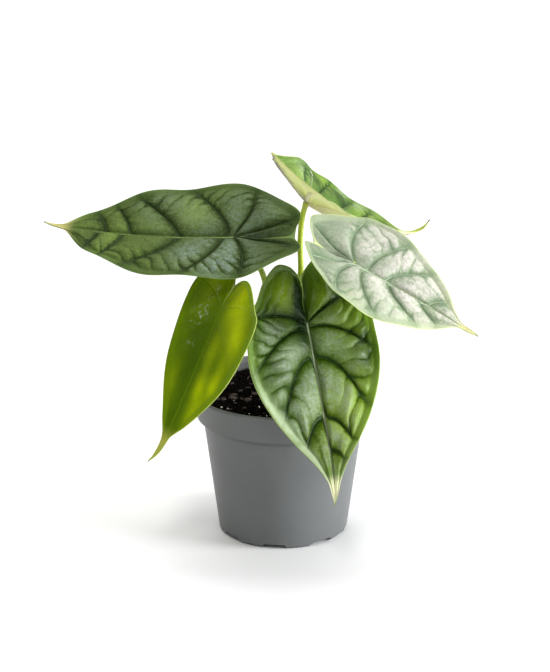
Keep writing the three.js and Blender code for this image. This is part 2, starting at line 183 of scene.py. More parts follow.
def between(value, start, end, low=0.0, high=1.0):  # eases from low at start to high at end
    inputs = {"Value": value, "From Min": start, "From Max": end, "To Min": low, "To Max": high}
    return addNode("MapRange", inputs, interpolation_type="SMOOTHSTEP").outputs[0]


def mixColour(amount, first, second, way="MIX"):  # a tuple is a screen colour
    first, second = (linear(colour) if isinstance(colour, tuple) else colour for colour in (first, second))
    inputs = {0: amount, 6: first, 7: second}
    return addNode("Mix", inputs, data_type="RGBA", blend_type=way).outputs[2]


def unevenly(colour, amount):  # a colour darker and lighter by places
    grey = addNode("CombineColor", {0: amount, 1: amount, 2: amount}).outputs[0]
    return mixColour(1.0, colour, grey, "MULTIPLY")


def surfaceNoise(scale, detail=3.0, stretch=(1, 1, 1), distortion=0.0):
    place = addNode("TexCoord", {}).outputs["Object"]
    if stretch != (1, 1, 1):
        place = addNode("Mapping", {"Vector": place, "Scale": stretch}).outputs[0]
    inputs = {"Vector": place, "Scale": scale, "Detail": detail, "Distortion": distortion}
    return addNode("TexNoise", inputs).outputs["Fac"]


def surfaceCells(scale):  # distance to the edges of small cells
    inputs = {"Vector": addNode("TexCoord", {}).outputs["Object"], "Scale": scale}
    return addNode("TexVoronoi", inputs, feature="DISTANCE_TO_EDGE").outputs["Distance"]


def bump(height, distance, strength=1.0, onTopOf=None):
    inputs = {"Height": height, "Distance": distance * mm, "Strength": strength}
    if onTopOf is not None:
        inputs["Normal"] = onTopOf
    return addNode("Bump", inputs).outputs["Normal"]


def grainyFinish(name, colours, span, noise, roughness, rise, strength):  # dark to light by one noise
    finish, shader = startFinish(name)
    grain = surfaceNoise(*noise)
    colour = mixColour(between(grain, *span), *colours)
    skin = bump(grain, rise, strength)
    setShader(shader, colour, roughness, skin)
    return finish


# Short calls for the meshes
def addFinishes(piece, finishes):
    for finish in finishes:
        piece.data.materials.append(finish)


def finishPiece(piece, name, finishes, node):
    piece.name = name
    piece.data.name = name
    if not piece.data.materials:
        addFinishes(piece, finishes)
    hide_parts(node)
    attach(piece, "root")


def addGrid(columns, rows):  # a grid and each vertex's column and row in it
    deselectAll()
    bpy.ops.mesh.primitive_grid_add(x_subdivisions=columns - 1, y_subdivisions=rows - 1, size=1)
    piece = bpy.context.object
    places = np.empty(len(piece.data.vertices) * 3)
    piece.data.vertices.foreach_get("co", places)
    shares = places.reshape(-1, 3) + 0.5
    column = np.rint(shares[:, 0] * (columns - 1)).astype(int)
    row = np.rint(shares[:, 1] * (rows - 1)).astype(int)
    return piece, column, row


def setPlaces(piece, places):
    piece.data.vertices.foreach_set("co", (places * mm).ravel())
    piece.data.update()


def setAttribute(piece, name, values):
    piece.data.attributes.new(name, "FLOAT", "POINT").data.foreach_set("value", values)


def weld(piece, flip=False):
    pick(piece)
    bpy.ops.object.mode_set(mode="EDIT")
    bpy.ops.mesh.select_all(action="SELECT")
    bpy.ops.mesh.remove_doubles(threshold=0.002 * mm)
    if flip:
        bpy.ops.mesh.flip_normals()
    bpy.ops.object.mode_set(mode="OBJECT")


def faceOutwards(piece, closeEnds=False):
    pick(piece)
    bpy.ops.object.mode_set(mode="EDIT")
    if closeEnds:
        bpy.ops.mesh.select_all(action="DESELECT")
        bpy.ops.mesh.select_non_manifold()
        bpy.ops.mesh.fill()
    bpy.ops.mesh.select_all(action="SELECT")
    bpy.ops.mesh.normals_make_consistent(inside=False)
    bpy.ops.object.mode_set(mode="OBJECT")


def keepInBox(piece):  # a tip doesn't reach past the solids
    places = np.empty(len(piece.data.vertices) * 3)
    piece.data.vertices.foreach_get("co", places)
    setPlaces(piece, np.clip(places.reshape(-1, 3), *np.array(cadBox)) / mm)


def applyModifiers(piece):
    pick(piece)
    for modifier in list(piece.modifiers):
        bpy.ops.object.modifier_apply(modifier=modifier.name)


def ease(values, start, end):  # 0 at start, 1 at end, smooth between
    share = np.clip((values - start) / (end - start), 0, 1)
    return share * share * (3 - 2 * share)


def between01(values):
    return np.clip(values, 0, 1)


# The leaves. Headings run from +X towards +Y, pitch is up from level, roll is about the midrib. Pairs are
# for the left and the right half, seen from above with the tip ahead. Each side vein has the control point
# of the outline where it ends, from 0 at the tip to 14 at the notch, and the share of the midrib where it
# starts. Patches are (along, left, radius, amount), and those of lime and of painted shade may be stretched
# along the leaf. The painted shade patches darken the leaf where it lies in shade, and the silver patches
# carry its silvering together with painted glints. A stem has its direction from the corm and the points of
# its route.
leaves = {
    "left": {
        "junction": (-31, -20, 201), "heading": 176, "pitch": -3.5, "roll": -24,
        "bend": 12, "swerve": -2.5, "twist": -1.5, "back": 1, "fold": (11.5, 8.5), "cup": -7,
        "length": 119, "tip": 14.5, "tipCurl": 16, "tipSwerve": -4, "tipWidth": 3,
        "width": (44, 44), "lobe": (42, 42), "notch": 38, "belly": 2.9, "point": (0.75, 1.1), "hip": 0.9,
        "lobeTip": (0.35, 0.35),
        "gutter": 2, "quilt": 3, "wave": 1.8, "veinBend": 1.6, "veinBow": 4,
        "veins": (((3.1, 0.8), (3.85, 0.67), (4.7, 0.33), (6.9, 0.06), (9, 0), (12, 0)),
                  ((3.4, 0.76), (4.1, 0.62), (4.9, 0.33), (7, 0.02), (9.7, 0), (12, 0))),
        "scales": 0.8, "scaleStep": 7, "slot": "leaf_dark",
        "paintedShade": ((-12, 4, 9, 0.5), (-22, 10, 18, 1), (0, 0, 8, 0.4), (12, -6, 9, 0.4),
                   (-10, -18, 10, 0.6)),
        "silverAndGlints": ((-15, -25, 22, 0.35), (5, 30, 20, 1), (45, -22, 18, 0.4), (0, 0, 25, 0.5),
                  (28, 22, 14, 0.4)),
        "lime": ((25, -18, 14, 0.5), (75, 6, 22, 0.4), (20, 35, 14, 0.2)),
        "pale": ((104, 0, 10, 0.6),),
        "stem": (126, ((-7, 3.5, 125), (-10.2, -1.5, 158), (-13.8, -5, 174.3), (-21.5, -12, 187))),
    },
    "lower_left": {
        "junction": (-38, -55, 167), "heading": -160, "pitch": -66, "roll": -13,
        "bend": 4, "swerve": 11, "twist": -9, "back": -9.5, "fold": (-3.5, 6), "cup": -2,
        "length": 106, "tip": 19, "tipCurl": 32, "tipSwerve": -13, "tipWidth": 3,
        "width": (35.5, 32), "lobe": (23.5, 30), "notch": 15.5, "belly": 2.1, "point": (1, 1.13),
        "hip": 0.9, "lobeTip": (0.43, 0.43),
        "gutter": 1.5, "quilt": 0.3, "wave": 0.3, "veinBend": 1.6, "veinBow": 3,
        "veins": 2 * (((3, 0.78), (4.5, 0.42), (6, 0.12), (9.5, 0), (12, 0)),),
        "scales": 0.05, "scaleStep": 5, "stretch": 2.4, "slot": "leaf_young",
        "paintedShade": ((14, -6, 12, 0.8), (48, -2, 9, 0.9), (34, 14, 4, 0.7), (74, -1, 6, 0.6)),
        "silverAndGlints": ((9, -12, 6, 1), (0, -9, 5, 0.8), (-8, -7, 4, 0.9), (18, -14, 5, 0.9), (27, -12, 4, 0.6)),
        "lime": ((-12, 12, 9, 1), (10, 22, 7, 0.9), (44, 18, 5, 0.9), (70, 12, 5, 0.8), (50, 8, 4, 1),
                 (26, 7, 5, 0.6), (-14, -14, 9, 0.5), (60, -15, 5, 0.6)),
        "pale": ((90, 0, 8, 0.4),),
        "stem": (198, ((-11, -5, 115), (-17, -14, 138), (-25, -34, 157))),
    },
    "front": {
        "junction": (14.3, -35.3, 150.6), "heading": -65, "pitch": -64.5, "roll": -9,
        "bend": 15.5, "swerve": -15, "twist": 16, "back": 8.5, "fold": (6, 12), "cup": 2.5,
        "length": 116, "tip": 14.5, "tipCurl": 1, "tipSwerve": -24, "tipWidth": 4.2,
        "width": (45, 53.5), "lobe": (40, 39), "notch": 28.5, "belly": 2.55, "point": (1.4, 1.4),
        "hip": 0.83, "lobeTip": (0.46, 0.46),
        "seamShift": 4.4, "gutter": 4, "quilt": 3.8, "wave": 0.6, "veinBend": 2.4, "veinBow": 3,
        "veins": (((3.1, 0.8), (3.9, 0.6), (5.2, 0.22), (7.4, 0.03), (9.9, 0)),
                  ((3.6, 0.6), (4.7, 0.22), (6.8, 0.04), (9.1, 0))),
        "scales": 1.3, "scaleStep": 9, "slot": "leaf_green",
        "paintedShade": ((-8, -6, 8, 1), (-17, -7, 8, 1), (-26, -7, 7, 0.9), (3, -7, 8, 0.9), (14, -5, 7, 0.6),
                   (-20, 20, 9, 0.5), (12, 38, 10, 0.5), (28, 40, 8, 0.4), (0, -26, 9, 0.4),
                   (30, -34, 8, 0.3)),
        "silverAndGlints": ((48, -10, 26, 1), (20, -22, 16, 0.7), (6, 14, 11, 0.8), (72, -6, 24, 0.9), (16, 32, 4, 1),
                  (28, 10, 16, 0.5), (27, 31, 4, 1), (4, -34, 9, 0.9), (16, -38, 6, 0.9), (45, 14, 14, 0.5)),
        "lime": ((-20, -20, 11, 0.9), (-14, 10, 9, 0.4), (50, 18, 20, 0.6), (75, 10, 22, 0.8),
                 (4, 26, 16, 0.4)),
        # pale patches along the left margin: its paler green with a painted highlight on the rolled rim
        "pale": ((52, -38, 16, 0.8), (68, -30, 16, 1), (84, -20, 16, 1), (100, -6, 14, 1)),
        "stem": (270, ((0.5, -10, 110), (3, -14, 130), (8.5, -22, 143.5))),
    },
    "right": {
        "junction": (43, -43, 191.3), "heading": -8, "pitch": -28, "roll": 23.5,
        "bend": -3, "swerve": 1, "twist": 25, "back": 17, "fold": (0, 5), "cup": 11,
        "length": 88.5, "tip": 13, "tipCurl": 4.5, "tipSwerve": 2.5, "tipWidth": 2.2,
        "width": (40.5, 40.5), "lobe": (38.5, 33.5), "notch": 27, "belly": 2, "point": (1.1, 1.1),
        "hip": 0.81, "lobeTip": (0.38, 0.45),
        "gutter": 3, "quilt": 2.8, "wave": 1, "veinBend": 1.9, "veinBow": 5,
        "veins": (((3.4, 0.7), (4.8, 0.3), (6.5, 0.13), (9.2, 0), (12.2, 0)),
                  ((3.4, 0.62), (4.4, 0.32), (6.6, 0.08), (8.9, 0), (11.3, 0))),
        "scales": 0.4, "scaleStep": 7, "slot": "leaf_silver",
        "paintedShade": ((-8, 0, 6, 0.5), (5, 5, 6, 0.8), (-24, 18, 15, 0.6), (-20, -16, 14, 0.8),
                   (17, 8, 6, 0.7), (14, 26, 4, 0.5), (10, -16, 6, 0.6), (32, 6, 5, 0.5), (0, -26, 8, 0.5)),
        "silverAndGlints": ((20, 18, 34, 1), (55, 4, 26, 0.9), (8, -20, 16, 0.4)),
        "lime": ((60, -20, 22, 0.3), (10, -32, 14, 0.3)),
        "pale": ((66, 0, 16, 0.8),),
        "stem": (342, ((11.2, 0.6, 115), (19.6, 7, 145), (32, 7, 170), (41, -15, 185))),
    },
    "top": {
        "junction": (15, 21, 212), "heading": 10.8, "pitch": -37.3, "roll": 2.4,
        "bend": 37.8, "swerve": 10.5, "twist": -3, "back": 18.8, "backPower": 0.15, "fold": (21.2, 24.5),
        "cup": -5.5, "length": 91.5, "tip": 20, "tipCurl": 56, "tipSwerve": 24, "tipWidth": 2.6,
        "width": (39.2, 31.3), "lobe": (36, 40.5), "notch": 30, "belly": 2.1, "point": (0.97, 0.97),
        "hip": 0.78, "lobeTip": (0.14, 0.04),
        "gutter": 0, "quilt": 2.5, "wave": 0.8, "veinBend": 1.6, "veinBow": 3,
        "veins": 2 * (((3.3, 0.75), (4.2, 0.55), (5.3, 0.3), (7, 0.08), (9.4, 0), (12, 0)),),
        "scales": 0.3, "scaleStep": 6, "slot": "leaf_pale",
        "paintedShade": ((1, 32, 6, 1), (6, 24, 5, 0.9), (24, 25, 7, 1), (29, 18, 5, 0.8), (50, 16, 5, 0.6)),
        "silverAndGlints": ((30, 32, 5, 1), (-7, 31, 4, 1), (-12, 22, 8, 0.5), (41, 20, 6, 0.6), (-10, -16, 12, 0.5)),
        "lime": ((14, 31, 9, 1), (-14, 14, 12, 0.7), (44, 14, 10, 0.8), (20, -16, 16, 0.6)),
        "pale": ((70, 0, 16, 0.6),),
        "stem": (54, ((6.5, 9, 120), (9.5, 13, 148), (11, 16, 167.5), (10.7, 18.5, 187),
                      (11.9, 20.3, 201.5))),
    },
}
leafUsuals = {"backPower": 1, "seamShift": 0, "stretch": 1}  # of the leaves that give no others
leaves = {name: leafUsuals | leaf for name, leaf in leaves.items()}

blade = {
    "rows": 240,  # of points in each half, from the tip to the notch
    "columns": 52,  # from the midrib to the margin
    "lastControl": 14,  # of the outline, at the notch
    "frontStations": (0.88, 0.75, 0.6, 0.44, 0.28, 0.12),  # shares of the midrib with an outline point
    "curlReach": 1.3,  # tip lengths that take part in the tip's curl
    "swerveBack": 0.35,  # shares of the swerve and the twist that the lobes have, the other way
    "twistBack": 0.4,
    "rimReach": 0.88,  # share of the way along that a side vein has gone at the rim's vein
    "rimBand": 4,  # a vein runs along the margin, this far inside it
    "gutterWidth": 8,  # of the channel from the stalk to the notch
    "rimRise": 0.99,
    "fullQuilt": 12,  # a half that is narrower than this is quilted less
    "pillowPower": 0.65,  # under 1 for pillows that are flat on top
    "scalePower": 0.8,
    "scaleZone": (0.35, 0.8),  # where the scales grow in, of the way to the margin
    "grooveDepth": 0.12,  # of the side veins
    "grooveWidth": 0.6,
    "seamWidth": 14,  # how far the seam's shift is felt
    "skinRise": 0.2,  # the upper skin lies this far above the solid's middle
    "thickness": 2.3,  # at the midrib's thickest; the rest is a share of it
    "lamina": 0.2,
    "midribRib": 1.4,  # half width of the rib below
    "sideRib": 0.9,
}

# What the finishes read from the blade's mesh, the last four by patches: painted shade, silvering with
# painted glints, lime and pale
leafPatches = ("paintedShade", "silverAndGlints", "lime", "pale")
leafMaps = ("veinGap", "midGap", "edgeGap", "tone", "phase", "zone", "band", "inner", "tipShare",
            *leafPatches)

# Screen colours and amounts of each leaf's finish
leafLooks = {
    "left": {
        "deep": (33, 50, 16), "face": (80, 99, 44), "silver": (132, 150, 138), "silverAmount": 0.85,
        "sheenRange": (0.2, 0.7), "lime": (112, 134, 62), "paintedShade": 0.5, "midrib": (132, 154, 92),
        "halo": (26, 38, 14), "haloAmount": 0.35, "haloWidth": 1,
        "line": (130, 148, 100), "lineAmount": 0.2, "rim": (74, 98, 44), "rimAmount": 0.4,
        "paleRim": (170, 184, 110), "edge": (124, 148, 84), "tip": (206, 200, 130),
        "under": (120, 145, 85), "ribs": (165, 180, 120), "glow": (110, 150, 30), "through": 0.06,
        "roughness": 0.55, "gloss": 0.1, "crinkle": 0.6, "veined": 1,
    },
    "lower_left": {
        "deep": (92, 120, 0), "face": (98, 126, 0), "silver": (226, 234, 206), "silverAmount": 1,
        "sheenRange": (0.53, 0.68), "lime": (170, 190, 0), "paintedShade": 0.7, "midrib": (100, 130, 4),
        "halo": (58, 88, 0), "haloAmount": 0.04, "haloWidth": 3,
        "line": (120, 150, 20), "lineAmount": 0.0, "rim": (112, 142, 6), "rimAmount": 0.7,
        "paleRim": (170, 184, 60), "edge": (190, 204, 110), "tip": (180, 184, 80),
        "under": (140, 166, 30), "ribs": (164, 184, 60), "glow": (140, 186, 0), "through": 0.3,
        "roughness": 0.24, "gloss": 0.12, "crinkle": 0.1, "veined": 0.06,
    },
    "front": {
        "deep": (22, 46, 0), "face": (68, 94, 16), "silver": (146, 156, 144), "silverAmount": 0.6,
        "sheenRange": (0.05, 0.8), "lime": (120, 146, 30), "paintedShade": 1, "midrib": (156, 166, 138),
        "halo": (6, 30, 0), "haloAmount": 0.4, "haloWidth": 1.8,
        "line": (120, 140, 100), "lineAmount": 0.1, "rim": (104, 134, 44), "rimAmount": 0.4,
        "paleRim": (158, 174, 138), "edge": (150, 170, 90), "tip": (222, 224, 178),
        "under": (130, 160, 80), "ribs": (170, 185, 120), "glow": (120, 170, 10), "through": 0.08,
        "roughness": 0.26, "gloss": 0.14, "crinkle": 0.34, "veined": 1,
    },
    "right": {
        "deep": (108, 128, 98), "face": (148, 158, 134), "silver": (218, 211, 205), "silverAmount": 0.9,
        "sheenRange": (0.1, 0.75), "lime": (156, 174, 112), "paintedShade": 0.7, "midrib": (184, 196, 164),
        "halo": (84, 104, 76), "haloAmount": 0.3, "haloWidth": 2.6,
        "line": (186, 200, 172), "lineAmount": 0.5, "rim": (160, 174, 138), "rimAmount": 0.5,
        "paleRim": (214, 218, 180), "edge": (196, 208, 140), "tip": (212, 208, 150),
        "under": (160, 180, 120), "ribs": (190, 200, 150), "glow": (170, 200, 120), "through": 0.1,
        "roughness": 0.4, "gloss": 0.25, "crinkle": 0.5, "veined": 1,
    },
    "top": {
        "deep": (44, 78, 22), "face": (88, 120, 52), "silver": (190, 206, 176), "silverAmount": 0.9,
        "sheenRange": (0.3, 0.65), "lime": (132, 160, 66), "paintedShade": 0.7, "midrib": (170, 186, 120),
        "halo": (22, 52, 14), "haloAmount": 0.4, "haloWidth": 2,
        "line": (150, 170, 110), "lineAmount": 0.1, "rim": (104, 138, 58), "rimAmount": 0.3,
        "paleRim": (180, 196, 90), "edge": (180, 192, 100), "tip": (180, 190, 60),
        "under": (208, 216, 164), "ribs": (222, 214, 178), "glow": (220, 240, 110), "through": 0.5,
        "roughness": 0.3, "gloss": 0.4, "crinkle": 0.6, "veined": 1,
    },
}


def midribOf(leaf):  # the midrib's places and frames, walked a millimetre at a time
    backReach, length = max(leaf["lobe"]), leaf["length"]
    behind = np.linspace(-backReach, 0, int(math.ceil(backReach)) + 1)
    ahead = np.linspace(0, length, int(math.ceil(length)) + 1)
    s = np.concatenate([behind, ahead[1:]])
    forward = between01(s / length)
    back = np.clip(-s / backReach, 0, 1.1)
    curlReach = blade["curlReach"] * leaf["tip"]
    curl = between01((s - length + curlReach) / curlReach) ** 2
    pitch = leaf["pitch"] + leaf["bend"] * forward - leaf["back"] * back ** leaf["backPower"]
    pitch = np.radians(pitch + leaf["tipCurl"] * curl)
    swerve = leaf["swerve"] * (forward - blade["swerveBack"] * back)
    heading = np.radians(leaf["heading"] + swerve + leaf["tipSwerve"] * curl)
    roll = np.radians(leaf["roll"] + leaf["twist"] * (forward - blade["twistBack"] * back))[:, None]
    along = np.stack([np.cos(pitch) * np.cos(heading), np.cos(pitch) * np.sin(heading), np.sin(pitch)], 1)
    level = np.stack([-np.sin(heading), np.cos(heading), 0 * heading], 1)
    up = np.cross(along, level)
    steps = (along[1:] + along[:-1]) / 2 * np.diff(s)[:, None]
    places = np.concatenate([np.zeros((1, 3)), np.cumsum(steps, axis=0)])
    places += np.array(leaf["junction"]) - places[len(behind) - 1]
    side = level * np.cos(roll) + up * np.sin(roll)
    normal = up * np.cos(roll) - level * np.sin(roll)
    return {"s": s, "place": places, "side": side, "normal": normal}


def midribAt(midrib, key, s):
    return np.stack([np.interp(s, midrib["s"], midrib[key][:, axis]) for axis in range(3)], -1)


def cubicBetween(start, end, leave, arrive, x):  # from start to end with these slopes, at shares x
    cube = (2 * start - 2 * end + leave + arrive) * x ** 3
    square = (-3 * start + 3 * end - 2 * leave - arrive) * x ** 2
    return cube + square + leave * x + start


def outlineOf(leaf, half, u):  # flat outline at control u: s along the midrib and t out from it
    width, lobe, lobeTip = (leaf[key][half] for key in ("width", "lobe", "lobeTip"))
    length, tip, tipWidth = leaf["length"], leaf["tip"], leaf["tipWidth"]
    tipRoot = length - tip
    points = [(length, 0), (length - 0.45 * tip, 0.5 * tipWidth), (tipRoot, tipWidth)]
    for x in blade["frontStations"]:
        share = (1 - x ** leaf["belly"]) ** leaf["point"][half]
        points.append((x * tipRoot, tipWidth * x + width * share * (1 - tipWidth / width * x)))
    points += [
        (-0.06 * tipRoot, width), (-0.45 * lobe, width * leaf["hip"]),
        (-0.78 * lobe, width * (lobeTip + 0.25)), (-lobe, width * lobeTip),
        (-0.93 * lobe, width * lobeTip * 0.45), (-leaf["notch"], 0),
    ]
    points = np.array([points[0], *points, points[-1]])
    i = np.clip(u.astype(int), 0, blade["lastControl"] - 1)
    x = (u - i)[..., None]
    before, start, end, after = (points[i + step] for step in range(4))
    place = cubicBetween(start, end, (end - before) / 2, (after - start) / 2, x)
    return place[..., 0], np.maximum(place[..., 1], 0)


def veinFoot(leaf, half, u):  # where the line that ends at control u leaves the midrib
    tipRoot = leaf["length"] - leaf["tip"]
    ends, feet = zip(*leaf["veins"][half])
    feet = (leaf["length"], tipRoot, *np.multiply(feet, tipRoot), 0)
    return np.interp(u, (0, 2, *ends, blade["lastControl"]), feet)


def veinAlong(leaf, u, outward, foot, marginS, rimVein):  # bends to the tip, or bows back to the lobes
    bend = 1 + (leaf["veinBend"] - 1) * between01((9.5 - u) / 3)
    share = np.minimum(outward / rimVein, 1)
    atRim = blade["rimReach"]
    reach = atRim * share ** bend + (1 - atRim) * np.maximum(0, outward - rimVein) / (1 - rimVein)
    bow = leaf["veinBow"] * np.sin(np.pi * share) * np.exp(-((u - 9) / 1.8) ** 2)
    return foot + (marginS - foot) * reach - bow


def patchesAt(leaf, key, s, t):  # how much of its patches is at these places, t to the left
    stretch = leaf["stretch"] if key in ("paintedShade", "lime") else 1
    total = sum(amount * np.exp(-(((s - at) / stretch) ** 2 + (t - out) ** 2) / radius ** 2)
                for at, out, radius, amount in leaf[key])
    return between01(total)


def veinRows(veins):  # rows from tip to notch, closer together beside the veins
    fine = np.linspace(0, blade["lastControl"], 2801)
    density = 1 + sum(1.8 * np.exp(-((fine - vein) / 0.15) ** 2) for vein in veins)
    total = np.concatenate([[0], np.cumsum((density[1:] + density[:-1]) / 2)])
    rows = np.interp(np.linspace(0, total[-1], blade["rows"]), total, fine)
    for vein in veins:
        rows[np.abs(rows - vein).argmin()] = vein
    return rows


def halfBlade(leaf, half, midrib, sharedRows):
    veins = [end for end, foot in leaf["veins"][half]]
    columns = np.linspace(0, 1, blade["columns"]) ** 1.1
    outward = np.broadcast_to(columns, (blade["rows"], blade["columns"]))
    ownShare = np.minimum(outward / 0.1, 1)
    u = sharedRows[:, None] * (1 - ownShare) + veinRows(veins)[:, None] * ownShare
    marginS, marginT = outlineOf(leaf, half, u)
    sharedFoot = (veinFoot(leaf, 0, u) + veinFoot(leaf, 1, u)) / 2
    foot = sharedFoot + (veinFoot(leaf, half, u) - sharedFoot) * ownShare
    rimVein = np.clip(1 - blade["rimBand"] / np.maximum(marginT, 1), 0.7, 0.9)
    s = veinAlong(leaf, u, outward, foot, marginS, rimVein)
    t = marginT * outward

    # width in mm of a step of 1 in u, square to the side veins
    sByRow, sByColumn = np.gradient(s)
    tByRow, tByColumn = np.gradient(t)
    area = np.abs(sByRow * tByColumn - tByRow * sByColumn)
    rowStep = np.maximum(np.gradient(u, axis=0), 1e-6)
    unitWidth = area / np.maximum(np.hypot(sByColumn, tByColumn), 1e-9) / rowStep
    veinGap = np.min([np.abs(u - vein) for vein in veins], axis=0) * unitWidth

    panels = np.array([0.5, *veins, blade["lastControl"]])
    i = np.clip(np.searchsorted(panels, u, side="right"), 1, len(panels) - 1)
    across = between01((u - panels[i - 1]) / (panels[i] - panels[i - 1]))
    arch = np.sin(np.pi * across)
    ahead = between01(foot / 15)
    nearMidrib = 1 - (1 - np.minimum(outward / (0.3 - 0.14 * ahead), 1)) ** 2
    nearRim = np.sqrt(between01((rimVein - outward) / 0.2))
    pillow = arch ** blade["pillowPower"] * nearMidrib * nearRim
    size = np.minimum(marginT / blade["fullQuilt"], 1)

    # rows of scales that leave a panel's lower vein and run out to the rim
    reach = np.hypot(marginS - foot, marginT)
    wobble = 0.12 * np.sin(2.3 * u + 3 * outward) + 0.08 * np.sin(7.1 * u - 5 * outward)
    slant = 0.5 / np.maximum(1, (panels[i] - panels[i - 1]) / 2.4) ** 2
    phase = (outward - slant * across) * reach / leaf["scaleStep"] + 0.37 * i + wobble
    zone = (0.06 + 0.94 * ease(outward, *blade["scaleZone"])) * (1 - 0.6 * ease(u, 8.8, 11))
    zone = zone * (1 - ease(outward, rimVein - 0.04, rimVein + 0.03)) * arch ** 0.4 * nearMidrib * size
    scales = (np.abs(np.sin(np.pi * phase)) ** blade["scalePower"] - 0.55) * zone

    ends = between01(u / 3) * between01((blade["lastControl"] - u) / 2)
    ripple = leaf["wave"] * np.sin(2 * u + 3.5 * half) * outward ** 3
    rimShare = np.maximum(0, outward - rimVein) / (1 - rimVein)
    rim = blade["rimRise"] * np.sin(0.7 * np.pi * rimShare)
    groove = blade["grooveDepth"] * np.exp(-(veinGap / blade["grooveWidth"]) ** 2)
    groove = groove * ease(outward, 0, 0.1) * (1 - ease(outward, 0.8, 0.9))
    height = leaf["quilt"] * size * pillow + leaf["scales"] * scales + (ripple + rim) * ends
    height += blade["skinRise"] - groove * min(1, leaf["quilt"])

    width = leaf["width"][half]
    fold, cup = np.radians(leaf["fold"][half]), np.radians(leaf["cup"])
    out = width / cup * (np.sin(fold + cup * t / width) - np.sin(fold))
    lift = width / cup * (np.cos(fold) - np.cos(fold + cup * t / width))
    lift -= leaf["gutter"] * np.exp(-(t / blade["gutterWidth"]) ** 2) * ease(s, -2, -15)
    sign = 1 if half == 0 else -1
    shift = leaf["seamShift"] * np.exp(-(t / blade["seamWidth"]) ** 2) * ease(s, -2, -22)
    places = midribAt(midrib, "place", s)
    places += midribAt(midrib, "side", s) * (sign * out + shift)[..., None]
    places += midribAt(midrib, "normal", s) * (lift + height)[..., None]

    fromTip = between01((leaf["length"] - s) / leaf["length"])
    ribShare = np.exp(-(t / blade["midribRib"]) ** 2) * fromTip ** 0.7
    ribShare = np.where(s < 0, ribShare * 0.5, ribShare)
    sideShare = 0.5 * np.exp(-(veinGap / blade["sideRib"]) ** 2) * (1 - outward) ** 0.5
    return {
        "places": places,
        "veinGap": veinGap,
        "midGap": np.where(s < 0, 20, t),
        "edgeGap": marginT * (1 - outward),
        "tone": arch ** blade["pillowPower"] * (0.5 + 0.5 * nearMidrib),
        "phase": phase,
        "zone": zone,
        "band": ease(outward, rimVein - 0.06, rimVein + 0.06),
        "inner": 1 - 0.8 * ease(outward, 0.2, 0.8),
        "tipShare": between01(((s - leaf["length"]) / leaf["tip"] + 1.5) / blade["curlReach"]),
        **{key: patchesAt(leaf, key, s, sign * t) for key in leafPatches},
        "thick": blade["lamina"] + (1 - blade["lamina"]) * np.maximum(ribShare, sideShare),
    }


def makeBlade(name, leaf, look):
    midrib = midribOf(leaf)
    sharedRows = sum(veinRows([end for end, foot in veins]) for veins in leaf["veins"]) / 2
    halves = [halfBlade(leaf, half, midrib, sharedRows) for half in (0, 1)]
    allRows = {}
    for key in halves[0]:  # from the left half's notch to the tip, and on to the right half's notch
        allRows[key] = np.concatenate([halves[0][key][::-1], halves[1][key][1:]])
    piece, column, row = addGrid(blade["columns"], 2 * blade["rows"] - 1)
    setPlaces(piece, allRows["places"][row, column])
    for key in leafMaps:
        setAttribute(piece, key, allRows[key][row, column])
    group = piece.vertex_groups.new(name="thick")
    for index, weight in enumerate(allRows["thick"][row, column]):
        group.add([index], weight, "REPLACE")
    weld(piece, flip=True)
    solid = piece.modifiers.new("thickness", "SOLIDIFY")
    solid.thickness = blade["thickness"] * mm
    solid.offset = -1
    solid.vertex_group = "thick"
    solid.material_offset = 1
    solid.material_offset_rim = 2
    finishes = [leafFinish(name, leaf, look), underFinish(name, look), edgeFinish(name, look)]
    addFinishes(piece, finishes)  # before the modifier, which gives each face its own
    applyModifiers(piece)
    keepInBox(piece)
    bpy.ops.object.shade_smooth()
    finishPiece(piece, f"leaf_{name}", finishes, f"blade_{name}")
    print(f"leaf {name} made, {len(piece.data.polygons)} faces")


